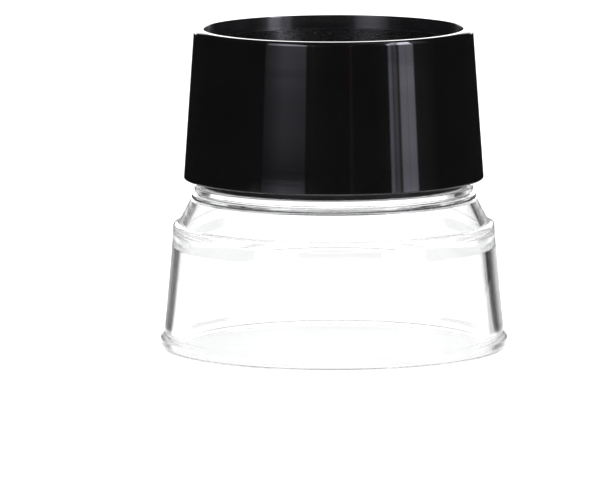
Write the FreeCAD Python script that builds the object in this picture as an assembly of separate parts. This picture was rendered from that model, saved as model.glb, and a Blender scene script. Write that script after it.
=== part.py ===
"""Stand magnifier: a clear acrylic stand, and on it a black head that screws up and down to focus.

All lengths are in millimetres. The origin is the centre of the foot's underside, and +Z is up along
the optical axis. Radii are worked out from the lens outwards, and heights from the foot upwards.
"""
import FreeCAD, Part
import math
import os

FULL_TURN = 360.0
UP = FreeCAD.Vector(0, 0, 1)
CENTRE = FreeCAD.Vector(0, 0, 0)

# Lenses: two alike, flat outside, with their round sides facing each other
lens_radius = 14.9
lens_curve_radius = 29.0
lens_edge_thickness = 1.6
lens_edge_break = 0.15
lens_vertex_gap = 0.5
lens_seat_width = 1.0
lens_side_clearance = 0.05

# Spacer and cushion ring between the lenses and above them
spacer_wall = 0.9
spacer_end_clearance = 0.02
cushion_thickness = 0.7

# Lens cell: the inner sleeve of the barrel, which hangs down inside the neck
cell_wall = 0.9
cell_floor_thickness = 0.9
cell_floor_rise = 0.3
cell_side_clearance = 0.15

# Neck of the stand and its focusing thread, which has several starts
neck_wall = 1.25
neck_height = 9.5
neck_edge_rounding = 0.3
thread_lead = 6.0
thread_starts = 3
thread_depth = 0.5
thread_crest_width = 0.5
thread_root_width = 1.0
thread_root_overlap = 0.1
thread_clearance = 0.2
thread_end_margin = 0.1
thread_relief_depth = 0.05

# Focus drag ring, in a groove in the mouth of the barrel
drag_ring_clearance = 0.05
drag_ring_wall = 0.7
drag_ring_height = 0.9
drag_groove_rise = 0.6
drag_groove_play = 0.1

# Barrel
barrel_wall = 0.81
barrel_flange_width = 1.2
barrel_flange_height = 1.5
barrel_flange_recess = 0.6
barrel_web_gap = 0.5
barrel_web_thickness = 1.9
barrel_top_wall = 0.95
barrel_edge_rounding = 0.15

# Retaining ring and the fine grooves inside it that kill stray light
ring_mouth_flare = 2.6
ring_wall = 0.45
ring_flange_thickness = 0.8
ring_body_height = 3.0
ring_foot_clearance = 0.1
ring_side_clearance = 0.05
groove_pitch = 0.2
groove_depth = 0.1

# Head shell
shell_height = 22.0
shell_reveal = 1.05
shell_wall = 1.4
shell_step = 0.45
shell_fit_clearance = 0.05
rim_width = 1.42
rim_bore_height = 5.0
rim_fit_clearance = 0.07
recess_depth = 1.9
rim_outer_rounding = 0.65
rim_inner_rounding = 0.15
shell_foot_rounding = 0.2

# Collar of the stand, from the top down: lip, groove, band, groove
collar_lip_width = 1.07
collar_lip_height = 0.8
collar_band_step = 0.42
collar_band_height = 0.65
collar_groove_depth = 0.25
upper_groove_height = 0.3
lower_groove_height = 0.25
collar_rounding = 0.12
collar_web_thickness = 1.6
collar_web_rounding = 0.6

# Shoulder of the stand
shoulder_step = 0.1
shoulder_spread = 1.85
shoulder_height = 3.55
shoulder_wall = 1.25
ledge_width = 0.75
ledge_rounding = 0.45
ledge_inner_rounding = 0.25

# Bead inside the stand, under the shoulder
bead_projection = 0.4
bead_drop = 1.7
bead_foot = 0.8
bead_rounding = 0.15

# Skirt and foot of the stand
skirt_spread = 1.4
skirt_height = 16.0
skirt_wall = 1.8
foot_width = 0.55
foot_flare_height = 0.8
foot_side_height = 0.95
foot_step_width = 0.45
foot_step_height = 0.65
foot_flare_rounding = 1.0
foot_edge_rounding = 0.35
foot_rim_rounding = 0.15

# A rounding takes at most this share of the shorter side beside it
rounding_limit_share = 0.45

# Radii, from the lens outwards
clear_radius = lens_radius - lens_seat_width
cell_bore_radius = lens_radius + lens_side_clearance
cell_outer_radius = cell_bore_radius + cell_wall
neck_bore_radius = cell_outer_radius + cell_side_clearance
thread_root_radius = neck_bore_radius + neck_wall
thread_crest_radius = thread_root_radius + thread_depth
barrel_bore_radius = thread_root_radius + thread_clearance
barrel_groove_radius = thread_crest_radius + thread_clearance
barrel_relief_radius = barrel_groove_radius + thread_relief_depth
drag_ring_bore_radius = thread_crest_radius + drag_ring_clearance
drag_ring_outer_radius = drag_ring_bore_radius + drag_ring_wall
drag_groove_radius = drag_ring_outer_radius + drag_ring_clearance
barrel_outer_radius = drag_groove_radius + barrel_wall
flange_radius = barrel_outer_radius + barrel_flange_width
shell_mouth_radius = flange_radius + shell_fit_clearance
shell_foot_radius = shell_mouth_radius + shell_wall
shell_seat_radius = shell_mouth_radius - shell_step

ring_mouth_radius = lens_radius + ring_mouth_flare
ring_body_radius = ring_mouth_radius + ring_wall
barrel_counterbore_radius = ring_body_radius + ring_side_clearance
barrel_top_radius = barrel_counterbore_radius + barrel_top_wall
recess_radius = barrel_top_radius + rim_fit_clearance
rim_radius = recess_radius + rim_width

collar_lip_radius = barrel_outer_radius + collar_lip_width
collar_band_radius = collar_lip_radius + collar_band_step
upper_groove_radius = collar_lip_radius - collar_groove_depth
lower_groove_radius = collar_band_radius - collar_groove_depth
shoulder_top_radius = collar_band_radius + shoulder_step
shoulder_foot_radius = shoulder_top_radius + shoulder_spread
skirt_top_radius = shoulder_foot_radius + ledge_width
skirt_foot_radius = skirt_top_radius + skirt_spread
foot_radius = skirt_foot_radius + foot_width
foot_rim_radius = foot_radius - foot_step_width

# Heights, from the foot upwards
foot_side_top = foot_step_height + foot_side_height
foot_top = foot_side_top + foot_flare_height
ledge_top = foot_top + skirt_height
shoulder_top = ledge_top + shoulder_height
band_bottom = shoulder_top + lower_groove_height
band_top = band_bottom + collar_band_height
lip_bottom = band_top + upper_groove_height
collar_top = lip_bottom + collar_lip_height
web_bottom = collar_top - collar_web_thickness
neck_top = collar_top + neck_height

shell_bottom = collar_top + shell_reveal
shell_top = shell_bottom + shell_height
recess_floor = shell_top - recess_depth
flange_bottom = shell_bottom + barrel_flange_recess
flange_top = flange_bottom + barrel_flange_height
barrel_web_bottom = neck_top + barrel_web_gap
barrel_web_top = barrel_web_bottom + barrel_web_thickness
barrel_top = recess_floor - ring_flange_thickness
rim_bore_bottom = shell_top - rim_bore_height


def sag(radius):
    """Depth of the lens curve from its vertex to the given radius."""
    return lens_curve_radius - math.sqrt(lens_curve_radius ** 2 - radius ** 2)


cell_floor = collar_top + cell_floor_rise
field_lens_bottom = cell_floor + cell_floor_thickness
field_lens_edge_top = field_lens_bottom + lens_edge_thickness
field_lens_vertex = field_lens_edge_top + sag(lens_radius)
eye_lens_vertex = field_lens_vertex + lens_vertex_gap
eye_lens_edge_bottom = eye_lens_vertex + sag(lens_radius)
eye_lens_top = eye_lens_edge_bottom + lens_edge_thickness
cushion_top = eye_lens_top + cushion_thickness
cell_rim_top = eye_lens_top + cushion_thickness / 2

# Thread: the groove in the barrel is the neck's ridge with clearance all round
groove_crest_width = thread_crest_width + 2 * thread_clearance
groove_root_width = thread_root_width + 2 * thread_clearance
groove_start_height = groove_root_width / 2 + thread_end_margin
thread_relief_bottom = barrel_web_bottom - 2 * groove_start_height
drag_groove_bottom = collar_top + drag_groove_rise
drag_groove_top = drag_groove_bottom + drag_ring_height + drag_groove_play


def at(radius, height):
    """A point of a section, in the plane that is turned about the axis."""
    return FreeCAD.Vector(radius, 0, height)


def turned(edges):
    """Solid of revolution from the closed edges of a section."""
    section = Part.Face(Part.Wire(edges))
    return section.revolve(CENTRE, UP, FULL_TURN)


def rounded_edges(corners):
    """Edges of a closed section through corners given as (radius, height, rounding)."""
    points = [at(radius, height) for radius, height, _ in corners]
    starts, middles, ends = [], [], []
    for place, corner in enumerate(points):
        back = points[place - 1] - corner
        ahead = points[(place + 1) % len(points)] - corner
        half_angle = back.getAngle(ahead) / 2
        limit = rounding_limit_share * min(back.Length, ahead.Length)
        reach = min(corners[place][2] / math.tan(half_angle), limit)
        rounding = reach * math.tan(half_angle)
        back.normalize()
        ahead.normalize()
        inward = back + ahead
        inward.normalize()
        starts.append(corner + back * reach)
        middles.append(corner + inward * (rounding / math.sin(half_angle) - rounding))
        ends.append(corner + ahead * reach)
    edges = []
    for place, corner in enumerate(corners):
        if corner[2] > 0:
            edges.append(Part.Arc(starts[place], middles[place], ends[place]).toShape())
        following = starts[(place + 1) % len(points)]
        edges.append(Part.LineSegment(ends[place], following).toShape())
    return edges


def thread_ridges(root_radius, crest_radius, root_width, crest_width, low, high):
    """Ridges of all starts from height low to high, each in half turns that meet end to end."""
    half_lead = thread_lead / 2
    pieces = math.ceil((high - low) / half_lead)
    rise = (high - low) / pieces
    turn_start = FULL_TURN * (low - collar_top) / thread_lead
    profile = Part.makePolygon([
        at(root_radius, -root_width / 2),
        at(crest_radius, -crest_width / 2),
        at(crest_radius, crest_width / 2),
        at(root_radius, root_width / 2),
        at(root_radius, -root_width / 2),
    ])
    ridge = Part.makeHelix(thread_lead, rise, root_radius).makePipeShell([profile], True, True)
    ridges = []
    for start in range(thread_starts):
        for piece in range(pieces):
            copy = ridge.copy()
            angle = turn_start + FULL_TURN * (start / thread_starts + piece * rise / thread_lead)
            copy.rotate(CENTRE, UP, angle)
            copy.translate(UP * (low + piece * rise))
            ridges.append(copy)
    return ridges


def base_skirt():
    """Clear stand: foot, skirt, shoulder, collar and threaded neck in one moulding."""
    shoulder_lean = shoulder_spread / shoulder_height
    web_outer_radius = shoulder_top_radius - shoulder_wall - shoulder_lean * (web_bottom - shoulder_top)
    shoulder_inner_radius = shoulder_foot_radius - shoulder_wall
    bead_top = ledge_top - shoulder_wall / 2
    bead_height = ledge_top - bead_drop
    skirt_inner_top = skirt_top_radius - skirt_wall
    skirt_inner_foot = skirt_foot_radius - skirt_wall
    body = turned(rounded_edges([
        (foot_rim_radius, 0, foot_rim_rounding),
        (foot_rim_radius, foot_step_height, 0),
        (foot_radius, foot_step_height, foot_edge_rounding),
        (foot_radius, foot_side_top, foot_edge_rounding),
        (skirt_foot_radius, foot_top, foot_flare_rounding),
        (skirt_top_radius, ledge_top, ledge_rounding),
        (shoulder_foot_radius, ledge_top, ledge_inner_rounding),
        (shoulder_top_radius, shoulder_top, collar_rounding),
        (lower_groove_radius, shoulder_top, 0),
        (lower_groove_radius, band_bottom, 0),
        (collar_band_radius, band_bottom, collar_rounding),
        (collar_band_radius, band_top, collar_rounding),
        (upper_groove_radius, band_top, 0),
        (upper_groove_radius, lip_bottom, 0),
        (collar_lip_radius, lip_bottom, collar_rounding),
        (collar_lip_radius, collar_top, collar_rounding),
        (thread_root_radius, collar_top, 0),
        (thread_root_radius, neck_top, neck_edge_rounding),
        (neck_bore_radius, neck_top, neck_edge_rounding),
        (neck_bore_radius, web_bottom, neck_edge_rounding),
        (web_outer_radius, web_bottom, collar_web_rounding),
        (shoulder_inner_radius, bead_top, bead_rounding),
        (shoulder_inner_radius - bead_projection, bead_height, bead_rounding),
        (skirt_inner_top, bead_height - bead_foot, bead_foot),
        (skirt_inner_foot, 0, foot_edge_rounding),
    ]))
    low = collar_top + thread_root_width / 2 + thread_end_margin
    high = neck_top - thread_root_width / 2 - thread_end_margin
    ridges = thread_ridges(
        thread_root_radius - thread_root_overlap,
        thread_crest_radius,
        thread_root_width,
        thread_crest_width,
        low,
        high,
    )
    return body.fuse(ridges)


def focus_drag_ring():
    """Soft ring that rubs on the neck's thread."""
    low = drag_groove_bottom + drag_groove_play / 2
    high = low + drag_ring_height
    rounding = drag_ring_wall / 3
    return turned(rounded_edges([
        (drag_ring_bore_radius, low, rounding),
        (drag_ring_outer_radius, low, rounding),
        (drag_ring_outer_radius, high, rounding),
        (drag_ring_bore_radius, high, rounding),
    ]))


def lens_barrel():
    """Black double-walled tube: thread sleeve outside, lens cell inside, joined by a web."""
    body = turned(rounded_edges([
        (barrel_relief_radius, collar_top, barrel_edge_rounding),
        (barrel_outer_radius, collar_top, barrel_edge_rounding),
        (barrel_outer_radius, flange_bottom, 0),
        (flange_radius, flange_bottom, barrel_edge_rounding),
        (flange_radius, flange_top, barrel_edge_rounding),
        (barrel_outer_radius, flange_top, 0),
        (barrel_top_radius, rim_bore_bottom, 0),
        (barrel_top_radius, barrel_top, 0),
        (barrel_counterbore_radius, barrel_top, 0),
        (barrel_counterbore_radius, barrel_web_top, barrel_edge_rounding),
        (cell_outer_radius, barrel_web_top, barrel_edge_rounding),
        (cell_outer_radius, cell_rim_top, barrel_edge_rounding),
        (cell_bore_radius, cell_rim_top, 0),
        (cell_bore_radius, field_lens_bottom, 0),
        (clear_radius, field_lens_bottom, 0),
        (clear_radius, cell_floor, barrel_edge_rounding),
        (cell_outer_radius, cell_floor, barrel_edge_rounding),
        (cell_outer_radius, barrel_web_bottom, barrel_edge_rounding),
        (barrel_relief_radius, barrel_web_bottom, 0),
        (barrel_relief_radius, thread_relief_bottom, 0),
        (barrel_bore_radius, thread_relief_bottom, 0),
        (barrel_bore_radius, drag_groove_top, 0),
        (drag_groove_radius, drag_groove_top, 0),
        (drag_groove_radius, drag_groove_bottom, 0),
        (barrel_relief_radius, drag_groove_bottom, 0),
    ]))
    grooves = thread_ridges(
        barrel_bore_radius - thread_root_overlap,
        barrel_groove_radius,
        groove_root_width,
        groove_crest_width,
        drag_groove_top - groove_start_height,
        barrel_web_bottom - groove_start_height,
    )
    for groove in grooves:
        body = body.cut(groove)
    return body


def head_shell():
    """Glossy black cone with a flat rim round the eye recess."""
    return turned(rounded_edges([
        (shell_mouth_radius, shell_bottom, shell_foot_rounding),
        (shell_foot_radius, shell_bottom, shell_foot_rounding),
        (rim_radius, shell_top, rim_outer_rounding),
        (recess_radius, shell_top, rim_inner_rounding),
        (recess_radius, rim_bore_bottom, 0),
        (shell_seat_radius, flange_top, 0),
        (shell_mouth_radius, flange_top, 0),
    ]))


def lens(flat_height, direction):
    """Lens with its flat side at flat_height and its round side the way of direction, 1 up or -1 down."""
    edge_height = flat_height + direction * lens_edge_thickness
    vertex_height = edge_height + direction * sag(lens_radius)
    middle_radius = lens_radius / 2
    middle_height = vertex_height - direction * sag(middle_radius)
    broken_radius = lens_radius - lens_edge_break
    broken_height = flat_height + direction * lens_edge_break
    crown = Part.Arc(at(lens_radius, edge_height), at(middle_radius, middle_height), at(0, vertex_height))
    return turned([
        Part.LineSegment(at(0, flat_height), at(broken_radius, flat_height)).toShape(),
        Part.LineSegment(at(broken_radius, flat_height), at(lens_radius, broken_height)).toShape(),
        Part.LineSegment(at(lens_radius, broken_height), at(lens_radius, edge_height)).toShape(),
        crown.toShape(),
        Part.LineSegment(at(0, vertex_height), at(0, flat_height)).toShape(),
    ])


def lens_spacer():
    """Ring with bevelled ends that seat on the round sides of both lenses."""
    inner_radius = lens_radius - spacer_wall
    bevel = sag(lens_radius) - sag(inner_radius)
    low = field_lens_edge_top + spacer_end_clearance
    high = eye_lens_edge_bottom - spacer_end_clearance
    return turned(rounded_edges([
        (lens_radius, low, 0),
        (lens_radius, high, 0),
        (inner_radius, high - bevel, 0),
        (inner_radius, low + bevel, 0),
    ]))


def lens_cushion_ring():
    """Flat rubber ring between the eye lens and the retaining ring."""
    rounding = cushion_thickness / 4
    return turned(rounded_edges([
        (clear_radius, eye_lens_top, rounding),
        (lens_radius, eye_lens_top, rounding),
        (lens_radius, cushion_top, rounding),
        (clear_radius, cushion_top, rounding),
    ]))


def lens_retaining_ring():
    """Funnel-shaped ring that closes the lens cell, with fine grooves all down its inside."""
    foot_outer_radius = lens_radius - ring_foot_clearance
    height = recess_floor - cushion_top
    count = int(height / groove_pitch)
    corners = [
        (foot_outer_radius, cushion_top, 0),
        (ring_body_radius, barrel_top - ring_body_height, 0),
        (ring_body_radius, barrel_top, 0),
        (barrel_top_radius, barrel_top, 0),
        (barrel_top_radius, recess_floor, rim_inner_rounding),
    ]
    for step in range(count):
        for share, cut in ((step / count, 0), ((step + 1 / 2) / count, groove_depth)):
            radius = ring_mouth_radius - (ring_mouth_radius - clear_radius) * share + cut
            corners.append((radius, recess_floor - height * share, 0))
    corners.append((clear_radius, cushion_top, 0))
    return turned(rounded_edges(corners))


NODES = {
    "base_skirt": base_skirt,
    "focus_drag_ring": focus_drag_ring,
    "lens_barrel": lens_barrel,
    "head_shell": head_shell,
    "field_lens": lambda: lens(field_lens_bottom, 1),
    "lens_spacer": lens_spacer,
    "eye_lens": lambda: lens(eye_lens_top, -1),
    "lens_cushion_ring": lens_cushion_ring,
    "lens_retaining_ring": lens_retaining_ring,
}

os.makedirs("parts", exist_ok=True)
for node, make in NODES.items():
    shape = make()
    print(node, "valid", shape.isValid(), "solids", len(shape.Solids), "volume", round(shape.Volume, 1))
    shape.exportStep("parts/" + node + ".step")
print("foot radius", round(foot_radius, 2), "height", round(shell_top, 2))
print("rim radius", round(rim_radius, 2), "shell foot radius", round(shell_foot_radius, 2))
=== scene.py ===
# %% [markdown]
# A stand magnifier has a black head that holds two lenses, and a clear stand that holds the head at
# the distance where a print comes into focus. Light comes in through the clear wall from all sides.
# The scene dresses the imported model of this object: the head shell, the retaining ring, the stand and
# the lenses are turned again with a finer mesh, and every piece gets the finish of the real plastic. All
# lengths in this file are in millimetres until they are handed to Blender, which works in metres.

# %% Load the imported model
import bpy
import bmesh
import math
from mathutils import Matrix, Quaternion, Vector


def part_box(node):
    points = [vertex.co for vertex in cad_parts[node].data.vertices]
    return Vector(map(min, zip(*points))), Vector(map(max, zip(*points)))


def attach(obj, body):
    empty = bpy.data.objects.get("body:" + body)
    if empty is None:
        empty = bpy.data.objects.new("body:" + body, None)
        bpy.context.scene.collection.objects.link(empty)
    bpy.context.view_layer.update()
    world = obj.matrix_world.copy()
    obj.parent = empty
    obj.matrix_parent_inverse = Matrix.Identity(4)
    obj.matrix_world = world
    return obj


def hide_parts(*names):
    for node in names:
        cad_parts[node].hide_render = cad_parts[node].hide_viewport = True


MM = 0.001
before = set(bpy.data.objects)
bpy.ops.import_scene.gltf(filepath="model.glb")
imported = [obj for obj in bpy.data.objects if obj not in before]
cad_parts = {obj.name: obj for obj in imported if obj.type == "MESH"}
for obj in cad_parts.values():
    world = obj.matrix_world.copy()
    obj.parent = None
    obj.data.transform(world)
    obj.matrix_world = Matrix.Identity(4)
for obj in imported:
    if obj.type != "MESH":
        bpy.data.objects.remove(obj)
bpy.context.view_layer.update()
print("nodes", sorted(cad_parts))


# %% [markdown]
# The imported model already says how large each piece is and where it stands. Reading radii and
# heights from the boxes of its nodes keeps the dressed pieces in place when a size changes. What no
# box can say, such as the depth of a groove, is a named size beside the piece that it belongs to.

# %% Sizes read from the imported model
def reach(node):
    """Outer radius, lowest and highest place of a node, in millimetres."""
    low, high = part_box(node)
    return high.x / MM, low.z / MM, high.z / MM


foot_radius, foot_bottom, neck_top = reach("base_skirt")
flange_radius, collar_top, barrel_top = reach("lens_barrel")
shell_foot_radius, shell_bottom, shell_top = reach("head_shell")
lens_radius, _, field_lens_vertex = reach("field_lens")
_, eye_lens_vertex, _ = reach("eye_lens")
barrel_top_radius, cushion_top, recess_floor = reach("lens_retaining_ring")
print("collar top", round(collar_top, 2), "recess floor", round(recess_floor, 2))

# %% [markdown]
# All pieces but one are round, as parts are that come from a lathe or from a round mould. By hand,
# such a piece is made from a circle: its ring is extruded and scaled from corner to corner, up the
# outside and down the inside, and the last ring is bridged to the first. Rings at the corners are
# then bevelled. This keeps the mesh an even net of quads, which a mirror gloss and clear plastic
# need, because every uneven face would show in them as a dent.

# %% Helpers for turned pieces
AROUND = 320
SAME_PLACE = 0.002


def deselect_all():
    """Leave nothing selected, because an operator acts on all that is."""
    bpy.ops.object.select_all(action="DESELECT")


def select_rings(rings):
    """Select the rings at these (radius, height) places and nothing else, in edit mode."""
    bpy.ops.mesh.select_all(action="DESELECT")
    bpy.ops.mesh.select_mode(type="EDGE")
    mesh = bmesh.from_edit_mesh(bpy.context.object.data)
    for radius, height in rings:
        ring = {vertex for vertex in mesh.verts
                if abs(vertex.co.z / MM - height) < SAME_PLACE
                and abs(vertex.co.xy.length / MM - radius) < SAME_PLACE}
        for vertex in ring:
            for edge in vertex.link_edges:
                edge.select_set(edge.other_vert(vertex) in ring)
    bmesh.update_edit_mesh(bpy.context.object.data)


def turn_wall(name, corners):
    """Closed ring-shaped piece through corners given as (radius, height, rounding)."""
    radius, height, _ = corners[0]
    deselect_all()
    bpy.ops.mesh.primitive_circle_add(vertices=AROUND, radius=radius * MM, location=(0, 0, height * MM))
    piece = bpy.context.object
    piece.name = name
    piece.data.name = name
    bpy.ops.object.transform_apply(location=True, rotation=True, scale=True)
    bpy.ops.object.mode_set(mode="EDIT")
    bpy.ops.mesh.select_all(action="SELECT")
    for next_radius, next_height, _ in corners[1:]:
        step = (0, 0, (next_height - height) * MM)
        bpy.ops.mesh.extrude_region_move(TRANSFORM_OT_translate={"value": step})
        share = next_radius / radius
        bpy.ops.transform.resize(value=(share, share, 1), center_override=(0, 0, next_height * MM))
        radius, height = next_radius, next_height
    select_rings([corners[0][:2], corners[-1][:2]])
    bpy.ops.mesh.bridge_edge_loops()
    bpy.ops.mesh.select_all(action="SELECT")
    bpy.ops.mesh.normals_make_consistent(inside=False)
    round_corners(corners)
    bpy.ops.object.mode_set(mode="OBJECT")
    return piece


ROUNDING_LIMIT_SHARE = 0.45
ROUNDING_SEGMENTS = 5


def round_corners(corners):
    """Bevel the rings of all corners that have a rounding."""
    for place, (radius, height, rounding) in enumerate(corners):
        if rounding == 0:
            continue
        here = Vector((radius, height))
        back = Vector(corners[place - 1][:2]) - here
        ahead = Vector(corners[(place + 1) % len(corners)][:2]) - here
        half_angle = back.angle(ahead) / 2
        limit = ROUNDING_LIMIT_SHARE * min(back.length, ahead.length)
        width = min(rounding / math.tan(half_angle), limit)
        select_rings([(radius, height)])
        bpy.ops.mesh.bevel(offset=width * MM, offset_type="OFFSET", segments=ROUNDING_SEGMENTS,
                           profile=0.5, affect="EDGES", clamp_overlap=False)


SHARP_ANGLE = math.radians(35)


def finish_mesh(piece):
    """Smooth shading with the large faces kept true, as a polished mould leaves them."""
    deselect_all()
    piece.select_set(True)
    bpy.context.view_layer.objects.active = piece
    bpy.ops.object.shade_smooth_by_angle(angle=SHARP_ANGLE)
    bpy.ops.object.modifier_add(type="WEIGHTED_NORMAL")
    piece.modifiers[-1].keep_sharp = True
    bpy.ops.object.modifier_apply(modifier=piece.modifiers[-1].name)
    print(piece.name, "faces", len(piece.data.polygons))
    return piece


# %% [markdown]
# The head shell is the black cone that the fingers hold. It is moulded in ABS against a polished
# steel tool, so it is a thin wall with a flat rim round the recess where the eye looks in. Inside it
# has a step that seats on the flange of the lens barrel.

# %% Head shell
shell_wall = 1.4
shell_step = 0.45
rim_width = 1.42
rim_fit_clearance = 0.07
rim_bore_height = 5.0
flange_recess = 0.6
flange_height = 1.5
flange_top = shell_bottom + flange_recess + flange_height
rim_outer_rounding = 0.65
rim_inner_rounding = 0.15
shell_foot_rounding = 0.2

shell_mouth_radius = shell_foot_radius - shell_wall
recess_radius = barrel_top_radius + rim_fit_clearance
rim_radius = recess_radius + rim_width

head_shell = finish_mesh(turn_wall("head_shell_gloss", [
    (shell_mouth_radius, shell_bottom, shell_foot_rounding),
    (shell_foot_radius, shell_bottom, shell_foot_rounding),
    (rim_radius, shell_top, rim_outer_rounding),
    (recess_radius, shell_top, rim_inner_rounding),
    (recess_radius, shell_top - rim_bore_height, 0),
    (shell_mouth_radius - shell_step, flange_top, 0),
    (shell_mouth_radius, flange_top, 0),
]))
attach(head_shell, "head")
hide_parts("head_shell")

# %% [markdown]
# The retaining ring closes the lens cell and is the funnel that the eye looks down. Its wall is cut
# with fine grooves, a fifth of a millimetre apart. A smooth black wall would still mirror the light
# at a low angle, and the grooves catch it. Each groove is a crest and a valley of the turned wall,
# so it stays sharp and needs no bevel.

# %% Lens retaining ring
ring_mouth_flare = 2.6
ring_wall = 0.45
ring_body_height = 3.0
ring_foot_clearance = 0.1
lens_seat_width = 1.0
groove_pitch = 0.2
groove_depth = 0.1

clear_radius = lens_radius - lens_seat_width
ring_mouth_radius = lens_radius + ring_mouth_flare
ring_body_radius = ring_mouth_radius + ring_wall
ring_height = recess_floor - cushion_top
groove_count = int(ring_height / groove_pitch)


def grooved_corners():
    """Corners of the retaining ring: its outside, then the grooves down its inside."""
    corners = [
        (lens_radius - ring_foot_clearance, cushion_top, 0),
        (ring_body_radius, barrel_top - ring_body_height, 0),
        (ring_body_radius, barrel_top, 0),
        (barrel_top_radius, barrel_top, 0),
        (barrel_top_radius, recess_floor, rim_inner_rounding),
    ]
    for groove in range(groove_count):
        for share, cut in ((groove, 0), (groove + 1 / 2, groove_depth)):
            share = share / groove_count
            radius = ring_mouth_radius - (ring_mouth_radius - clear_radius) * share + cut
            corners.append((radius, recess_floor - ring_height * share, 0))
    corners.append((clear_radius, cushion_top, 0))
    return corners


retaining_ring = finish_mesh(turn_wall("lens_retaining_ring_grooved", grooved_corners()))
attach(retaining_ring, "head")
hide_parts("lens_retaining_ring")
print("grooves", groove_count)

# %% [markdown]
# The stand is one moulding of clear acrylic: foot, skirt, shoulder, collar, and a threaded neck that
# the head screws on. Its outside and inside are both polished, and what the eye sees of it is how
# its wall bends light. So both sides are modelled true, with the ledge, the bead and the collar's
# grooves at their real size, and nothing is left solid that is hollow on the real one. The bead
# under the ledge runs out gently, because a sharp foot would draw a line across the front.

# %% Stand: the turned wall
flange_width = 1.2
barrel_outer_radius = flange_radius - flange_width
neck_bore_radius = 16.0
neck_wall = 1.25
neck_edge_rounding = 0.3
thread_root_radius = neck_bore_radius + neck_wall

collar_lip_width = 1.07
collar_lip_height = 0.8
collar_band_step = 0.42
collar_band_height = 0.65
collar_groove_depth = 0.25
upper_groove_height = 0.3
lower_groove_height = 0.25
collar_rounding = 0.12
collar_web_thickness = 1.6
collar_web_rounding = 0.6
collar_lip_radius = barrel_outer_radius + collar_lip_width
collar_band_radius = collar_lip_radius + collar_band_step
lip_bottom = collar_top - collar_lip_height
band_top = lip_bottom - upper_groove_height
band_bottom = band_top - collar_band_height
shoulder_top = band_bottom - lower_groove_height
web_bottom = collar_top - collar_web_thickness

shoulder_step = 0.1
shoulder_spread = 1.85
shoulder_height = 3.55
shoulder_wall = 1.25
ledge_width = 0.75
ledge_rounding = 0.45
ledge_inner_rounding = 0.25
shoulder_top_radius = collar_band_radius + shoulder_step
shoulder_foot_radius = shoulder_top_radius + shoulder_spread
shoulder_inner_radius = shoulder_foot_radius - shoulder_wall
shoulder_lean = shoulder_spread / shoulder_height
web_outer_radius = shoulder_top_radius - shoulder_wall - shoulder_lean * (web_bottom - shoulder_top)
ledge_top = shoulder_top - shoulder_height

bead_projection = 0.4
bead_drop = 1.7
bead_foot = 2.0
bead_rounding = 0.3
bead_foot_rounding = 1.0
bead_height = ledge_top - bead_drop

skirt_wall = 1.8
foot_width = 0.55
foot_flare_height = 0.8
foot_side_height = 0.95
foot_step_width = 0.45
foot_step_height = 0.65
foot_flare_rounding = 1.0
foot_edge_rounding = 0.35
foot_rim_rounding = 0.15
skirt_top_radius = shoulder_foot_radius + ledge_width
skirt_foot_radius = foot_radius - foot_width
foot_rim_radius = foot_radius - foot_step_width
foot_side_top = foot_step_height + foot_side_height
foot_top = foot_side_top + foot_flare_height

clear_stand = turn_wall("base_skirt_clear", [
    (foot_rim_radius, foot_bottom, foot_rim_rounding),
    (foot_rim_radius, foot_step_height, 0),
    (foot_radius, foot_step_height, foot_edge_rounding),
    (foot_radius, foot_side_top, foot_edge_rounding),
    (skirt_foot_radius, foot_top, foot_flare_rounding),
    (skirt_top_radius, ledge_top, ledge_rounding),
    (shoulder_foot_radius, ledge_top, ledge_inner_rounding),
    (shoulder_top_radius, shoulder_top, collar_rounding),
    (collar_band_radius - collar_groove_depth, shoulder_top, 0),
    (collar_band_radius - collar_groove_depth, band_bottom, 0),
    (collar_band_radius, band_bottom, collar_rounding),
    (collar_band_radius, band_top, collar_rounding),
    (collar_lip_radius - collar_groove_depth, band_top, 0),
    (collar_lip_radius - collar_groove_depth, lip_bottom, 0),
    (collar_lip_radius, lip_bottom, collar_rounding),
    (collar_lip_radius, collar_top, collar_rounding),
    (thread_root_radius, collar_top, 0),
    (thread_root_radius, neck_top, neck_edge_rounding),
    (neck_bore_radius, neck_top, neck_edge_rounding),
    (neck_bore_radius, web_bottom, neck_edge_rounding),
    (web_outer_radius, web_bottom, collar_web_rounding),
    (shoulder_inner_radius, ledge_top - shoulder_wall / 2, bead_rounding),
    (shoulder_inner_radius - bead_projection, bead_height, bead_rounding),
    (skirt_top_radius - skirt_wall, bead_height - bead_foot, bead_foot_rounding),
    (skirt_foot_radius - skirt_wall, foot_bottom, foot_edge_rounding),
])
print("collar top", round(collar_top, 2), "ledge top", round(ledge_top, 2))

# %% [markdown]
# The focusing thread on the neck has three ridges that climb together, 6 mm for each turn, so that
# half a turn covers the whole focus. A ridge is made as by hand: one short flat section is drawn
# beside the neck, and the Screw modifier winds it up round the axis. A Boolean modifier then joins
# the three ridges to the neck, because loose shells inside clear plastic would show.

# %% Stand: the focusing thread
thread_lead = 6.0
thread_starts = 3
thread_depth = 0.5
thread_crest_width = 0.5
thread_root_width = 1.0
thread_root_overlap = 0.1
thread_end_margin = 0.1
ridge_low = collar_top + thread_root_width / 2 + thread_end_margin
ridge_high = neck_top - thread_root_width / 2 - thread_end_margin
ridge_turns = (ridge_high - ridge_low) / thread_lead


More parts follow.
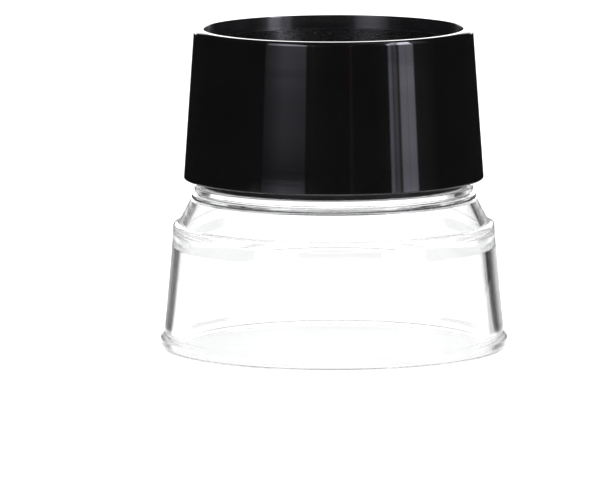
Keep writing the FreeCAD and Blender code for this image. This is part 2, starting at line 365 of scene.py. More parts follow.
def wind_ridge():
    """One ridge of the thread: its section drawn beside the neck, and wound up round it."""
    deselect_all()
    bpy.ops.mesh.primitive_plane_add(size=MM, rotation=(math.pi / 2, 0, 0))
    ridge = bpy.context.object
    ridge.name = "thread_ridges"
    bpy.ops.object.transform_apply(location=True, rotation=True, scale=True)
    for corner in ridge.data.vertices:
        outside = corner.co.x > 0
        width = thread_crest_width if outside else thread_root_width
        radius = thread_root_radius + (thread_depth if outside else -thread_root_overlap)
        corner.co = Vector((radius, 0, ridge_low + math.copysign(width / 2, corner.co.z))) * MM
    bpy.ops.object.modifier_add(type="SCREW")
    wind = ridge.modifiers[-1]
    wind.angle = 2 * math.pi * ridge_turns
    wind.screw_offset = (ridge_high - ridge_low) * MM
    wind.steps = wind.render_steps = int(AROUND * ridge_turns / 2)
    bpy.ops.object.modifier_apply(modifier=wind.name)
    bpy.ops.object.mode_set(mode="EDIT")
    bpy.ops.mesh.select_all(action="DESELECT")
    bpy.ops.mesh.select_non_manifold()
    bpy.ops.mesh.edge_face_add()
    bpy.ops.mesh.select_all(action="SELECT")
    bpy.ops.mesh.normals_make_consistent(inside=False)
    return ridge


def copy_round(piece, count):
    """Repeat all of the piece at even turns round the axis, in edit mode."""
    for _ in range(1, count):
        bpy.ops.mesh.duplicate()
        bpy.ops.transform.rotate(value=2 * math.pi / count, orient_axis="Z", center_override=(0, 0, 0))
    bpy.ops.object.mode_set(mode="OBJECT")
    return piece


def join_to_stand(ridges):
    """Make one solid of the stand and its ridges."""
    deselect_all()
    clear_stand.select_set(True)
    bpy.context.view_layer.objects.active = clear_stand
    bpy.ops.object.modifier_add(type="BOOLEAN")
    union = clear_stand.modifiers[-1]
    union.operation = "UNION"
    union.object = ridges
    bpy.ops.object.modifier_apply(modifier=union.name)
    bpy.data.objects.remove(ridges)


join_to_stand(copy_round(wind_ridge(), thread_starts))
finish_mesh(clear_stand)
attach(clear_stand, "stand")
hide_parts("base_skirt")

# %% [markdown]
# Each lens is flat on one side and a slice of a sphere on the other. By hand it is cut from a whole
# ball: one bisect keeps the cap, and the cap's edge is extruded down to the flat side and filled.
# A fine ball is used, because the eye sees through the whole of this surface at once.

# %% Lenses
lens_curve_radius = 29.0
lens_edge_thickness = 1.6
lens_edge_break = 0.15
cap_depth = lens_curve_radius - math.sqrt(lens_curve_radius ** 2 - lens_radius ** 2)
BALL_RINGS = 512
BALL_SEGMENTS = 192
CUT_TOLERANCE = 0.0002


def cut_lens(name, vertex_height, direction):
    """Lens with the top of its round side at vertex_height, facing direction, 1 up or -1 down."""
    deselect_all()
    ball_centre = vertex_height - direction * lens_curve_radius
    bpy.ops.mesh.primitive_uv_sphere_add(segments=BALL_SEGMENTS, ring_count=BALL_RINGS,
                                         radius=lens_curve_radius * MM, location=(0, 0, ball_centre * MM))
    piece = bpy.context.object
    piece.name = name
    piece.data.name = name
    bpy.ops.object.transform_apply(location=True, rotation=True, scale=True)
    edge_height = vertex_height - direction * cap_depth
    bpy.ops.object.mode_set(mode="EDIT")
    bpy.ops.mesh.select_all(action="SELECT")
    bpy.ops.mesh.bisect(plane_co=(0, 0, edge_height * MM), plane_no=(0, 0, direction),
                        clear_inner=True, threshold=CUT_TOLERANCE * MM)
    select_rings([(lens_radius, edge_height)])
    side = -direction * (lens_edge_thickness - lens_edge_break) * MM
    bpy.ops.mesh.extrude_region_move(TRANSFORM_OT_translate={"value": (0, 0, side)})
    edge_break = -direction * lens_edge_break * MM
    bpy.ops.mesh.extrude_region_move(TRANSFORM_OT_translate={"value": (0, 0, edge_break)})
    share = (lens_radius - lens_edge_break) / lens_radius
    bpy.ops.transform.resize(value=(share, share, 1))
    bpy.ops.mesh.edge_face_add()
    bpy.ops.mesh.select_all(action="SELECT")
    bpy.ops.mesh.normals_make_consistent(inside=False)
    bpy.ops.object.mode_set(mode="OBJECT")
    return finish_mesh(piece)


lenses = []
for node, vertex_height, direction in (
    ("field_lens", field_lens_vertex, 1),
    ("eye_lens", eye_lens_vertex, -1),
):
    lens = cut_lens(node + "_polished", vertex_height, direction)
    lenses.append(lens)
    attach(lens, "head")
    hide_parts(node)

# %% [markdown]
# A finish starts from a real material and from how its surface was made. Colours are written as
# they look on a screen, in sRGB hex, and one function turns them to the linear values that Blender
# mixes. One more small function adds a node: it links what is a node or a socket, and sets the rest.
# The others are the steps that finishes share: a random pattern, a gloss that follows it, a shade
# that follows it, and the direction round the axis, which tool marks take.

# %% Helpers for finishes
NOISE_SPAN = (0.3, 0.7)
ABS_IOR = 1.54
ACRYLIC_IOR = 1.49
QUARTER_TURN = 0.25


def linear(hex_colour):
    """Linear colour of an sRGB hex value such as '#101011', by the curve of that standard."""
    channels = [int(hex_colour[place:place + 2], 16) / 255 for place in (1, 3, 5)]
    curve = [c / 12.92 if c <= 0.04045 else ((c + 0.055) / 1.055) ** 2.4 for c in channels]
    return (*curve, 1)


def add(owner, kind, inputs=None, **settings):
    """Add a node to a material or world, with its own settings, and its inputs linked or set."""
    node = owner.node_tree.nodes.new(kind)
    for name, setting in settings.items():
        setattr(node, name, setting)
    for name, value in (inputs or {}).items():
        if isinstance(value, bpy.types.Node):
            value = value.outputs[0]
        if isinstance(value, bpy.types.NodeSocket):
            owner.node_tree.links.new(value, node.inputs[name])
        else:
            node.inputs[name].default_value = value
    return node


def calculate(owner, operation, *values):
    """One sum in a material or world, on numbers, nodes or sockets."""
    return add(owner, "ShaderNodeMath", dict(enumerate(values)), operation=operation)


def new_finish(name):
    """An empty material, and the place on the piece that its patterns start from."""
    material = bpy.data.materials.new(name)
    material.use_nodes = True
    material.node_tree.nodes.clear()
    return material, add(material, "ShaderNodeTexCoord").outputs["Object"]


def noise(material, place, spacing, detail, roughness=0.5):
    """A random pattern whose blots lie this far apart."""
    return add(material, "ShaderNodeTexNoise",
               {"Vector": place, "Scale": 1 / spacing, "Detail": detail, "Roughness": roughness})


def gloss_between(material, pattern, smoothest, roughest, span=NOISE_SPAN):
    """Roughness that goes from smoothest to roughest as the pattern rises over its span."""
    return add(material, "ShaderNodeMapRange",
               {"Value": pattern, "From Min": span[0], "From Max": span[1],
                "To Min": smoothest, "To Max": roughest})


def tangent_round(material):
    """The direction round the axis, which tool marks follow."""
    return add(material, "ShaderNodeTangent", direction_type="RADIAL", axis="Z")


def shade_between(material, factor, dark, light):
    """A colour that goes from dark to light, two hex values, as the factor rises."""
    ramp = add(material, "ShaderNodeValToRGB", {"Fac": factor})
    ramp.color_ramp.elements[0].color = linear(dark)
    ramp.color_ramp.elements[1].color = linear(light)
    return ramp


def close_finish(material, surface):
    """Link the finished surface to the material's output."""
    add(material, "ShaderNodeOutputMaterial", {"Surface": surface})
    print("finish", material.name)
    return material


def put_on(material, *pieces):
    """Give pieces this finish and no other."""
    for piece in pieces:
        piece.data.materials.clear()
        piece.data.materials.append(material)


# %% [markdown]
# The head is black ABS from a mirror-polished mould. The eye gets almost nothing from its colour
# and everything from what it mirrors: strips of light with straight edges. Up close the mirror is
# not perfect. The plastic shrinks a little as it cools, which leaves very low waves, and the cloth
# that it is wiped with leaves hairlines round it.

# %% Finish: polished black ABS
def polished_black_abs():
    """Black ABS as a mirror-polished mould leaves it."""
    material, place = new_finish("polished_black_abs")
    shrink_wave_spacing = 8 * MM
    shrink_wave_height = 0.004 * MM
    hairline_spacing = 0.5 * MM
    hairline_height = 0.0012 * MM
    hairline_stretch = (0.06, 0.06, 1)
    waves = noise(material, place, shrink_wave_spacing, detail=1.0)
    round_axis = add(material, "ShaderNodeMapping", {"Vector": place, "Scale": hairline_stretch})
    hairlines = noise(material, round_axis, hairline_spacing, detail=3.0, roughness=0.6)
    gloss = gloss_between(material, hairlines, smoothest=0.03, roughest=0.075, span=(0.35, 0.7))
    low_waves = add(material, "ShaderNodeBump", {"Height": waves, "Distance": shrink_wave_height})
    relief = add(material, "ShaderNodeBump",
                 {"Height": hairlines, "Normal": low_waves, "Distance": hairline_height})
    surface = add(material, "ShaderNodeBsdfPrincipled",
                  {"Base Color": shade_between(material, waves, "#0c0c0d", "#111112"),
                   "Roughness": gloss, "Normal": relief, "IOR": ABS_IOR})
    return close_finish(material, surface)


put_on(polished_black_abs(), head_shell)

# %% [markdown]
# The bore of the head shell, the barrel and the spacer are the same ABS, where the mould was
# spark-eroded and not polished. That leaves a fine even grain that spreads the light, so these
# faces glow softly where the gloss would mirror. The barrel's deeper grain shades itself and keeps
# back part of its gleam. The bore's grain is finer, and its core was drawn straight up out of the
# mould, so it spreads the light mostly up and down. The real grain is a few hundredths of a
# millimetre wide and is drawn about three times as coarse, so that it still shows as a soft tooth.

# %% Finish: spark-eroded black ABS
def eroded_black_abs(name, smoothest, roughest, grain_height, gleam=0.5, drawn=0.0):
    """Black ABS with a grain of this height; where drawn is 1, it spreads light along the axis."""
    material, place = new_finish(name)
    grain_width = 0.12 * MM
    handling_width = 6 * MM
    grain = noise(material, place, grain_width, detail=2.0, roughness=0.55)
    handling = noise(material, place, handling_width, detail=2.0)
    gloss = gloss_between(material, handling, smoothest, roughest)
    relief = add(material, "ShaderNodeBump", {"Height": grain, "Distance": grain_height * MM})
    surface = add(material, "ShaderNodeBsdfPrincipled",
                  {"Base Color": shade_between(material, grain, "#141416", "#1d1d1f"),
                   "Roughness": gloss, "Normal": relief, "IOR": ABS_IOR,
                   "Specular IOR Level": gleam, "Anisotropic": drawn,
                   "Anisotropic Rotation": QUARTER_TURN, "Tangent": tangent_round(material)})
    return close_finish(material, surface)


def put_on_bore(material, piece):
    """Give the wall of the recess, and nothing else of the piece, this finish."""
    piece.data.materials.append(material)
    piece.active_material_index = len(piece.data.materials) - 1
    deselect_all()
    piece.select_set(True)
    bpy.context.view_layer.objects.active = piece
    bpy.ops.object.mode_set(mode="EDIT")
    bpy.ops.mesh.select_mode(type="FACE")
    bpy.ops.mesh.select_all(action="DESELECT")
    mesh = bmesh.from_edit_mesh(piece.data)
    for face in mesh.faces:
        middle = face.calc_center_median() / MM
        inside = middle.xy.length < recess_radius + SAME_PLACE
        face.select_set(inside and middle.z > shell_top - rim_bore_height)
    bmesh.update_edit_mesh(piece.data)
    bpy.ops.object.material_slot_assign()
    bpy.ops.object.mode_set(mode="OBJECT")


even_grain = eroded_black_abs("eroded_black_abs", smoothest=0.36, roughest=0.5,
                              grain_height=0.006, gleam=0.3)
drawn_grain = eroded_black_abs("finely_eroded_black_abs", smoothest=0.2, roughest=0.26,
                               grain_height=0.002, drawn=1.0)
put_on(even_grain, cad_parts["lens_barrel"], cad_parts["lens_spacer"])
put_on_bore(drawn_grain, head_shell)

# %% [markdown]
# The retaining ring's grooves come from a turned mould insert, whose tool leaves marks far finer
# than the grooves themselves. They run round the axis, so on each crest the light breaks into a
# short glint. Rings of a Wave texture about the axis draw these marks.

# %% Finish: turned black ABS
def turned_black_abs():
    """Black ABS as a turned mould insert leaves it."""
    material, place = new_finish("turned_black_abs")
    tool_mark_spacing = 0.09 * MM
    tool_mark_height = 0.002 * MM
    wave_phase_in_metre = 20
    dust_spacing = 0.8 * MM
    marks = add(material, "ShaderNodeTexWave",
                {"Vector": place, "Scale": 2 * math.pi / wave_phase_in_metre / tool_mark_spacing,
                 "Distortion": 0.6, "Detail": 1.0}, wave_type="RINGS", rings_direction="Z")
    dust = noise(material, place, dust_spacing, detail=4.0, roughness=0.7)
    gloss = gloss_between(material, dust, smoothest=0.24, roughest=0.34)
    relief = add(material, "ShaderNodeBump",
                 {"Height": marks.outputs["Fac"], "Distance": tool_mark_height})
    surface = add(material, "ShaderNodeBsdfPrincipled",
                  {"Base Color": shade_between(material, dust, "#101011", "#18181a"),
                   "Roughness": gloss, "Normal": relief, "IOR": ABS_IOR, "Anisotropic": 1.0,
                   "Anisotropic Rotation": QUARTER_TURN, "Tangent": tangent_round(material)})
    return close_finish(material, surface)


put_on(turned_black_abs(), retaining_ring)

# %% [markdown]
# The stand is clear acrylic, and its clearness is its finish: almost no colour, a sharp bend of
# light at both faces, and dark lines where light turns back inside the wall. The melt leaves very
# low flow waves down the skirt. The underside, which rests on tables and pages, is scuffed, so its
# mirror breaks up into a faint haze.

# %% Finish: moulded clear acrylic
def moulded_clear_acrylic():
    """Clear acrylic with low flow waves, and scuffed underneath."""
    material, place = new_finish("moulded_clear_acrylic")
    flow_wave_spacing = 5 * MM
    flow_wave_height = 0.003 * MM
    flow_stretch = (1, 1, 0.3)
    scuff_spacing = 0.4 * MM
    scuff_top = 0.35 * MM
    scuff_haze = 0.3
    down_flow = add(material, "ShaderNodeMapping", {"Vector": place, "Scale": flow_stretch})
    waves = noise(material, down_flow, flow_wave_spacing, detail=1.0)
    relief = add(material, "ShaderNodeBump", {"Height": waves, "Distance": flow_wave_height})
    height = add(material, "ShaderNodeSeparateXYZ", {"Vector": place}).outputs["Z"]
    near_table = add(material, "ShaderNodeMapRange",
                     {"Value": height, "From Max": scuff_top, "To Min": scuff_haze, "To Max": 0.0})
    scuffs = noise(material, place, scuff_spacing, detail=4.0, roughness=0.7)
    haze = calculate(material, "MULTIPLY", near_table, scuffs)
    surface = add(material, "ShaderNodeBsdfPrincipled",
                  {"Base Color": shade_between(material, waves, "#f9fafa", "#ffffff"),
                   "Roughness": haze, "Normal": relief, "IOR": ACRYLIC_IOR,
                   "Transmission Weight": 1.0})
    return close_finish(material, surface)


put_on(moulded_clear_acrylic(), clear_stand)

# %% [markdown]
# The lenses are acrylic too, but moulded against optical inserts. Nothing may disturb the picture
# that they make, so they have no waves, only the few wiping marks that a used loupe has on its
# upper lens. They are kept so faint that they show in a mirrored light and not in the picture.

# %% Finish: optical acrylic
def optical_acrylic():
    """Clear acrylic as an optical insert leaves it, with faint wiping marks."""
    material, place = new_finish("optical_acrylic")
    wipe_mark_spacing = 3 * MM
    wipe_angle = math.radians(35)
    wipe_stretch = (0.15, 1, 1)
    along_wipe = add(material, "ShaderNodeMapping",
                     {"Vector": place, "Rotation": (0, 0, wipe_angle), "Scale": wipe_stretch})
    wipes = noise(material, along_wipe, wipe_mark_spacing, detail=5.0, roughness=0.7)
    gloss = gloss_between(material, wipes, smoothest=0.0, roughest=0.03, span=(0.55, 0.8))
    surface = add(material, "ShaderNodeBsdfPrincipled",
                  {"Base Color": shade_between(material, wipes, "#fbfcfc", "#ffffff"),
                   "Roughness": gloss, "IOR": ACRYLIC_IOR, "Transmission Weight": 1.0})
    return close_finish(material, surface)


put_on(optical_acrylic(), *lenses)

# %% [markdown]
# The drag ring and the cushion ring are cut from black nitrile rubber. Rubber drinks light: it is
# dull, a little uneven, and paler where it is rubbed.

# %% Finish: nitrile rubber
def nitrile_rubber():
    """Black rubber, dull and a little paler where it is rubbed."""
    material, place = new_finish("nitrile_rubber")
    bloom_spacing = 1.2 * MM
    bloom_height = 0.01 * MM
    rubber_ior = 1.52
    bloom = noise(material, place, bloom_spacing, detail=5.0, roughness=0.65)
    gloss = gloss_between(material, bloom, smoothest=0.6, roughest=0.85)
    relief = add(material, "ShaderNodeBump", {"Height": bloom, "Distance": bloom_height})
    surface = add(material, "ShaderNodeBsdfPrincipled",
                  {"Base Color": shade_between(material, bloom, "#1a1a1a", "#2c2b2a"),
                   "Roughness": gloss, "Normal": relief, "IOR": rubber_ior})
    return close_finish(material, surface)


put_on(nitrile_rubber(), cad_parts["focus_drag_ring"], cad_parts["lens_cushion_ring"])

# %% [markdown]
# Clear plastic on white paper has no outline unless something dark stands beside it. A photographer puts
# black cards behind it at both sides, out of the picture, and the plastic finds them: light that turns
# back inside a wall comes out up to 37 degrees aside, and so does light mirrored at its edge. Here the
# cards are not objects. They are painted shade in the colour of the paper floor and of the world, so the
# dark edges of the stand are a painted reflection. The paper is white to every ray that shows it to the
# eye, and only turned and mirrored light meets the painted cards. They are laid out by the angle aside,
# seen from the side wall of the skirt. Light that met more than five faces on its way finds white paper.
# A paler grey all round the front, painted in the same way, gives the stand its outline when it is looked
# at from behind.

# %% Helpers for the surroundings
def times(owner, level, other):
    """One level times another."""
    return calculate(owner, "MULTIPLY", level, other)


def ray_kinds(owner):
    """Whether a ray shows the background to the eye, and whether it was mirrored or turned."""
    first_bounce = 1.5
    last_short_bounce = 5.5
    no_mirror = 0.5
    path = add(owner, "ShaderNodeLightPath").outputs
    through = path["Is Transmission Ray"]
    straight = calculate(owner, "MAXIMUM", path["Is Camera Ray"], through)
    seen = calculate(owner, "MAXIMUM", straight, path["Is Glossy Ray"])
    off_surface = calculate(owner, "SUBTRACT", path["Is Glossy Ray"], through)
    first = calculate(owner, "LESS_THAN", path["Ray Depth"], first_bounce)
    mirrored = times(owner, off_surface, first)
    turned = calculate(owner, "GREATER_THAN", path["Glossy Depth"], no_mirror)
    short = calculate(owner, "LESS_THAN", path["Ray Depth"], last_short_bounce)
    turned_inside = times(owner, times(owner, turned, short), through)
    return seen, mirrored, turned_inside


def follow(owner, value, steps):
    """A light level that follows (value, level) steps, tinted where a step has a hex colour."""
    low, high = steps[0][0], steps[-1][0]
    share = add(owner, "ShaderNodeMapRange", {"Value": value, "From Min": low, "From Max": high})
    ramp = add(owner, "ShaderNodeValToRGB", {"Fac": share})
    while len(ramp.color_ramp.elements) < len(steps):
        ramp.color_ramp.elements.new(1.0)
    for element, (place, level, *tint) in zip(ramp.color_ramp.elements, steps):
        colour = linear(tint[0] if tint else "#ffffff")
        element.position = (place - low) / (high - low)
        element.color = (*(level * channel for channel in colour[:3]), 1)
    return ramp


def degrees_between(owner, sideways, ahead):
    """Angle in degrees of a place that lies so far sideways and so far ahead."""
    return calculate(owner, "DEGREES", calculate(owner, "ARCTAN2", sideways, ahead))


def choose(owner, where, special, plain):
    """The special level for the rays or places where this is 1, and the plain level elsewhere."""
    return add(owner, "ShaderNodeMix", {"Factor": where, "A": plain, "B": special})


def angle_aside(owner, place, wall_radius):
    """Angle in degrees of this place, straight behind the side wall being 0."""
    out = calculate(owner, "ABSOLUTE", place["X"])
    aside = calculate(owner, "SUBTRACT", out, wall_radius)
    return degrees_between(owner, aside, place["Y"])


# The cards are painted shade: a darkness painted into the colour of the paper floor and of the world.
def painted_card_light(owner, place, angle):
    """What the painted cards and the paper between them give back, in steps of (angle aside, level)."""
    left = follow(owner, angle, [
        (-6.0, 1.0), (0.0, 0.8), (5.0, 0.42), (9.0, 0.27), (12.0, 0.13), (16.0, 0.07),
        (20.0, 0.09), (23.5, 0.13), (27.0, 0.17), (29.5, 0.38), (32.0, 0.68), (35.0, 1.0),
        (55.0, 1.0), (75.0, 0.4),
    ])
    right = follow(owner, angle, [
        (6.0, 1.0), (10.0, 0.7), (13.0, 0.42), (18.0, 0.2), (22.0, 0.1), (25.5, 0.03),
        (34.0, 0.01), (36.0, 0.1), (38.5, 0.42), (45.0, 0.42), (57.0, 1.0), (75.0, 0.4),
    ])
    on_right = calculate(owner, "GREATER_THAN", place["X"], 0.0)
    return choose(owner, on_right, right, left)


# %% [markdown]
# The world is the far backdrop. It is white, and a little dimmer as a lamp, so that the shadow on the
# paper stays. Turned light meets the painted cards, a darkness painted into the world's colour, only
# where it runs nearly level.

# %% Backdrop
ROOM_LIGHT = 0.6
LEVEL_RISE = math.sin(math.radians(9))
STEEP_RISE = math.sin(math.radians(22))

world = bpy.data.worlds.new("white_paper_room")
world.use_nodes = True
world.node_tree.nodes.clear()
seen, _, turned_inside = ray_kinds(world)
toward = add(world, "ShaderNodeTexCoord").outputs["Object"]
direction = add(world, "ShaderNodeSeparateXYZ", {"Vector": toward}).outputs
rise = calculate(world, "ABSOLUTE", direction["Z"])
nearly_level = add(world, "ShaderNodeMapRange",
                   {"Value": rise, "From Min": LEVEL_RISE, "From Max": STEEP_RISE,
                    "To Min": 1.0, "To Max": 0.0})
# Painted cards: the world's colour is painted dark for turned light that runs nearly level.
painted_cards = painted_card_light(world, direction, angle_aside(world, direction, 0.0))
meets_cards = times(world, nearly_level, turned_inside)
backdrop_level = add(world, "ShaderNodeMapRange",
                     {"Value": seen, "To Min": ROOM_LIGHT, "To Max": 1.0})
paper = add(world, "ShaderNodeBackground",
            {"Color": linear("#ffffff"),
             "Strength": choose(world, meets_cards, painted_cards, backdrop_level)})
add(world, "ShaderNodeOutputWorld", {"Surface": paper})
bpy.context.scene.world = world
print("backdrop", world.name)

# %% [markdown]
# The floor is the same white paper. Part of its white is its own glow, which keeps it as white as
# the backdrop, and part is matt paper that takes the soft shadow. Close round the foot it stays
# white to turned light too, so the dark edges of the stand run out to a tip above the foot. Light
# that is mirrored at once leaves the edge of a wall at its own angles, so it has a layout of its own.
# In front it is painted grey to mirrors: a painted reflection that stands for a room darker there than
# the paper behind the object.

# %% Floor
FLOOR_GLOW = 0.72
FLOOR_SIZE = 8000
MATT_SHARE = 0.5
CARDS_START = 32
CARDS_FULL = 42

deselect_all()
bpy.ops.mesh.primitive_plane_add(size=FLOOR_SIZE * MM, location=(0, 0, foot_bottom * MM))
paper_floor = bpy.context.object
paper_floor.name = "paper_floor"
paper_white, place = new_finish("white_paper")
seen, mirrored, turned_inside = ray_kinds(paper_white)
from_axis = add(paper_white, "ShaderNodeVectorMath", {0: place}, operation="LENGTH").outputs["Value"]
far = add(paper_white, "ShaderNodeMapRange",
          {"Value": from_axis, "From Min": CARDS_START * MM, "From Max": CARDS_FULL * MM})
place = add(paper_white, "ShaderNodeSeparateXYZ", {"Vector": place}).outputs
angle = angle_aside(paper_white, place, skirt_top_radius * MM)
# Painted cards: away from the foot the paper's colour is painted dark for turned and mirrored light, and
# painted grey in front for mirrored light.
turned_light = painted_card_light(paper_white, place, angle)
mirror_light = follow(paper_white, angle, [
    (8.0, 1.0), (14.0, 0.04), (40.0, 0.04), (48.0, 1.0), (65.0, 1.0), (85.0, 0.4),
])
painted_cards = choose(paper_white, mirrored, mirror_light, turned_light)
side_rays = calculate(paper_white, "MAXIMUM", mirrored, turned_inside)
kept_light = choose(paper_white, times(paper_white, far, side_rays), painted_cards, 1.0)
glow = add(paper_white, "ShaderNodeEmission",
           {"Color": linear("#ffffff"),
            "Strength": times(paper_white, times(paper_white, seen, FLOOR_GLOW), kept_light)})
matt_level = times(paper_white, kept_light, MATT_SHARE)
matt_colour = add(paper_white, "ShaderNodeCombineColor",
                  {"Red": matt_level, "Green": matt_level, "Blue": matt_level})
matt = add(paper_white, "ShaderNodeBsdfDiffuse", {"Color": matt_colour})
both = add(paper_white, "ShaderNodeAddShader", {0: glow, 1: matt})
put_on(close_finish(paper_white, both), paper_floor)

# %% [markdown]
# A glossy black thing is lit by what stands round it. A tent of black cloth, which only mirrors can
# see, keeps the paper's white off the cone. Lit panels in the tent draw what the cone mirrors: a dim
# strip on the left, a bright one with a window bar on the right, and a white band behind for the
# flat rim. The panels go on up over the object and are brightest there, and the rounded edge of the
# rim squeezes that part into a thin bright line. Low in the tent lies the grey of the table, which
# gives the satin ring under the head its gleam.

# %% Tent
TENT_RADIUS = 160
TENT_MIDDLE = 40
TENT_SEGMENTS = 96
TENT_RINGS = 48

deselect_all()
bpy.ops.mesh.primitive_uv_sphere_add(segments=TENT_SEGMENTS, ring_count=TENT_RINGS,
                                     radius=TENT_RADIUS * MM, location=(0, 0, TENT_MIDDLE * MM))
tent = bpy.context.object
tent.name = "black_tent"
tent.visible_camera = False
tent.visible_diffuse = False
tent.visible_transmission = False
tent.visible_shadow = False
cloth, place = new_finish("black_cloth_with_panels")
place = add(cloth, "ShaderNodeSeparateXYZ", {"Vector": place}).outputs
toward_eye = times(cloth, place["Y"], -1.0)
angle = degrees_between(cloth, place["X"], toward_eye)
off_front = calculate(cloth, "ABSOLUTE", angle)
height = calculate(cloth, "MULTIPLY_ADD", place["Z"], 1 / MM, TENT_MIDDLE)

# %% [markdown]
# The panels are laid out by the angle round the axis, 0 toward the eye and positive to the right,
# and by the height above the paper in millimetres. The cone leans, so at its sides it mirrors
# places a little lower down than at its front, and its rounded edge mirrors places farther round.
# The dip and the lean of the panels undo this, so that their edges run straight up the cone.

# %% Level and upright lines in the tent
DIP_BY_ANGLE = 0.00085
LEAN_START = 90
LEAN_FULL = 172
LEAN_AT_TOP = 23
LEAN_POWER = 2.5

over_start = add(cloth, "ShaderNodeMapRange",
                 {"Value": height, "From Min": LEAN_START, "From Max": LEAN_FULL})
lean = calculate(cloth, "POWER", over_start, LEAN_POWER)
upright = calculate(cloth, "MULTIPLY_ADD", lean, -LEAN_AT_TOP, off_front)
dip = times(cloth, off_front, off_front)
level_height = calculate(cloth, "MULTIPLY_ADD", dip, DIP_BY_ANGLE, height)
on_right = calculate(cloth, "GREATER_THAN", place["X"], 0.0)
on_left = calculate(cloth, "SUBTRACT", 1.0, on_right)

# %% [markdown]
# Now the light itself. The table fills the foot of the tent in front and at the sides, and falls
# away behind. The white band behind starts a little higher toward its ends. Each panel is the
# product of three patterns: its stripes across, its shade up the cone, and its light overhead. A
# step of a pattern is a place and a level there, with a tint where the light isn't white.

# %% Table, band and panels
TABLE_LEVEL = 0.44
CLOTH_LEVEL = 0.01
TABLE_TOP_IN_FRONT = 25
TABLE_TOP_BEHIND = -1
TABLE_FALL_START = 60
TABLE_FALL_END = 130
BAND_LEVEL = 2.8
BAND_FOOT_ASIDE = 52
BAND_FOOT_BEHIND = 34
BAND_FALL_START = 120
BAND_START = 147
BAND_FULL = 153
BAND_LOW = 30
BAND_FADE_START = 90
BAND_FADE_END = 110
STRAIGHT_BEHIND = 180


def panel(side, across, up_the_cone, overhead):
    """Light of a panel on one side: its pattern across, up the cone, and up over the object."""
    upward = times(cloth, follow(cloth, level_height, up_the_cone), follow(cloth, height, overhead))
    return add(cloth, "ShaderNodeEmission",
               {"Color": follow(cloth, upright, across), "Strength": times(cloth, side, upward)})


def together(*lights):
    """All lights as one."""
    total = lights[0]
    for light in lights[1:]:
        total = add(cloth, "ShaderNodeAddShader", {0: total, 1: light})
    return total


table_top = add(cloth, "ShaderNodeMapRange",
                {"Value": off_front, "From Min": TABLE_FALL_START, "From Max": TABLE_FALL_END,
                 "To Min": TABLE_TOP_IN_FRONT, "To Max": TABLE_TOP_BEHIND})
on_table = calculate(cloth, "LESS_THAN", height, table_top)
cloth_level = calculate(cloth, "MULTIPLY_ADD", on_table, TABLE_LEVEL, CLOTH_LEVEL)
table = add(cloth, "ShaderNodeEmission", {"Color": linear("#ffffff"), "Strength": cloth_level})

band_foot = add(cloth, "ShaderNodeMapRange",
                {"Value": off_front, "From Min": BAND_FALL_START, "From Max": STRAIGHT_BEHIND,
                 "To Min": BAND_FOOT_ASIDE, "To Max": BAND_FOOT_BEHIND})
over_foot = calculate(cloth, "GREATER_THAN", height, band_foot)
behind = follow(cloth, off_front, [(BAND_START, 0.0), (BAND_FULL, 1.0)])
band_fade = follow(cloth, height, [
    (BAND_LOW, BAND_LEVEL), (BAND_FADE_START, BAND_LEVEL), (BAND_FADE_END, 0.0),
])
band_level = times(cloth, times(cloth, over_foot, behind), band_fade)
band = add(cloth, "ShaderNodeEmission", {"Color": linear("#ffffff"), "Strength": band_level})

cool = "#efedff"
warm = "#ffdcd8"
brown = "#c08860"
left_panel = panel(on_left, [
    (0.0, 0.0), (8.0, 0.02), (14.6, 0.05), (15.4, 0.11), (16.6, 0.06), (20.2, 0.05),
    (21.2, 0.76, cool), (27.0, 0.85, cool), (33.0, 0.97, cool), (38.0, 1.0, cool),
    (42.0, 0.8, cool), (46.0, 0.6, cool), (50.0, 0.42, cool), (52.9, 0.32, cool), (53.9, 0.0),
], [
    (26.8, 1.0), (27.9, 0.99), (28.6, 0.8), (29.0, 0.6), (29.6, 0.17), (30.3, 0.115),
    (31.4, 0.156), (32.5, 0.235), (34.3, 0.31), (35.4, 0.37), (37.8, 0.45), (43.0, 0.477),
    (44.8, 0.57), (45.5, 0.71), (46.6, 0.71), (47.0, 0.4), (47.4, 0.4), (47.8, 0.66),
    (48.5, 0.84), (49.2, 0.77),
], [
    (50.0, 1.0), (62.0, 3.0), (80.0, 7.5), (110.0, 8.5), (135.0, 7.0), (155.0, 3.0),
    (175.0, 0.3),
])
right_panel = panel(on_right, [
    (11.4, 0.0), (12.2, 0.2, brown), (13.6, 0.2, brown), (14.4, 0.0), (30.0, 0.0),
    (41.8, 0.04), (42.7, 1.55, cool), (44.4, 1.55, cool), (45.5, 0.62, cool),
    (46.1, 0.66, cool), (47.0, 0.93, cool), (48.5, 0.93, cool), (49.5, 0.36, warm),
    (50.7, 0.33, warm), (51.9, 2.2, cool), (56.7, 2.2, cool), (57.5, 1.65, cool),
    (58.3, 2.25, cool), (63.5, 2.05, cool), (64.5, 0.1, cool), (72.0, 0.07), (85.0, 0.0),
], [
    (27.0, 1.1), (28.1, 1.0), (29.3, 0.9), (32.2, 0.83), (35.2, 1.0), (44.0, 0.97),
    (45.5, 1.1), (46.7, 1.1), (47.4, 0.92), (48.0, 1.15), (48.4, 1.1), (48.7, 0.75),
    (52.0, 0.9),
], [
    (50.0, 1.0), (62.0, 2.8), (80.0, 6.0), (110.0, 8.0), (135.0, 8.0), (160.0, 8.0),
    (175.0, 3.0), (184.0, 1.0),
])
put_on(close_finish(cloth, together(table, band, left_panel, right_panel)), tent)

# %% [markdown]
# Two soft lamps stand high at the sides and one behind. They are wide and far off, so the shadow on
# the paper stays soft and pale.

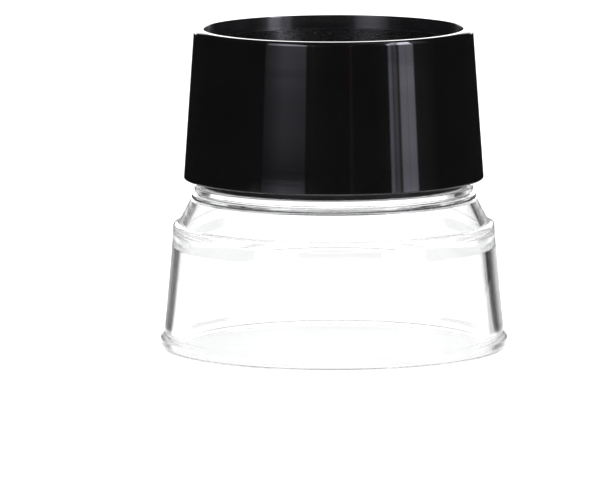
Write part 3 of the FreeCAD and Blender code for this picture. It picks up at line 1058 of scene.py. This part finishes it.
# %% Lamps
def soft_lamp(name, angle_round, angle_up, distance, size, watts):
    """Square lamp that looks at the object from an angle round the axis and an angle up."""
    turn = math.radians(angle_round)
    rise = math.radians(angle_up)
    away = Vector((math.sin(turn) * math.cos(rise), -math.cos(turn) * math.cos(rise), math.sin(rise)))
    deselect_all()
    bpy.ops.object.light_add(type="AREA", location=away * distance * MM)
    lamp = bpy.context.object
    lamp.name = name
    lamp.data.size = size * MM
    lamp.data.energy = watts
    lamp.rotation_euler = away.to_track_quat("Z", "Y").to_euler()
    print(name, "at", [round(side / MM) for side in lamp.location], "mm")


soft_lamp("left_lamp", angle_round=-50, angle_up=50, distance=900, size=500, watts=3.0)
soft_lamp("right_lamp", angle_round=60, angle_up=45, distance=900, size=500, watts=3.5)
soft_lamp("back_lamp", angle_round=180, angle_up=60, distance=1000, size=700, watts=4.0)

# %% [markdown]
# The camera stands a little over a metre away and looks down seven degrees, which shows the thin
# ellipse of the rim and hides the lenses. It is aimed a little below and beside the object, because
# that is where the photographed frame has its middle.

# %% Camera
FRAME_WIDTH = 600
FRAME_HEIGHT = 490
SENSOR_WIDTH = 36
camera_distance = 1200
camera_rise = math.radians(7.0)
camera_roll = math.radians(-0.14)
pixels_per_mm = 6.8154
aim_height = shell_top / 2
aim_pixel = (333.9, 187.6)
camera_clip_start = 10
camera_clip_end = 20000

deselect_all()
bpy.ops.object.camera_add()
camera = bpy.context.object
camera.name = "loupe_camera"
camera.data.sensor_width = SENSOR_WIDTH
camera.data.lens = SENSOR_WIDTH * camera_distance * pixels_per_mm / FRAME_WIDTH
away = Vector((0, -math.cos(camera_rise), math.sin(camera_rise)))
aim = Vector((0, 0, aim_height))
right = Vector((1, 0, 0))
up = right.cross(-away)
off_right = (aim_pixel[0] - FRAME_WIDTH / 2) / pixels_per_mm
off_up = (FRAME_HEIGHT / 2 - aim_pixel[1]) / pixels_per_mm
middle = aim - right * off_right - up * off_up
camera.location = (aim + away * camera_distance) * MM
look = middle - (aim + away * camera_distance)
camera.rotation_mode = "QUATERNION"
camera.rotation_quaternion = look.to_track_quat("-Z", "Y") @ Quaternion((0, 0, 1), camera_roll)
camera.data.clip_start = camera_clip_start * MM
camera.data.clip_end = camera_clip_end * MM
bpy.context.scene.camera = camera
bpy.context.scene.view_settings.view_transform = "Standard"
print("camera", round(camera.data.lens), "mm lens at", [round(side / MM) for side in camera.location])

# %% [markdown]
# Light that is caught in a clear wall is mirrored many times before it finds the way out. After the
# usual four turns the renderer gives it up and leaves a black patch, which no real stand has.

# %% Patience for caught light
LIGHT_TURNS = 32
light_paths = bpy.context.scene.cycles
light_paths.max_bounces = LIGHT_TURNS
light_paths.glossy_bounces = LIGHT_TURNS
light_paths.transmission_bounces = LIGHT_TURNS
print("light is followed for", light_paths.max_bounces, "turns")
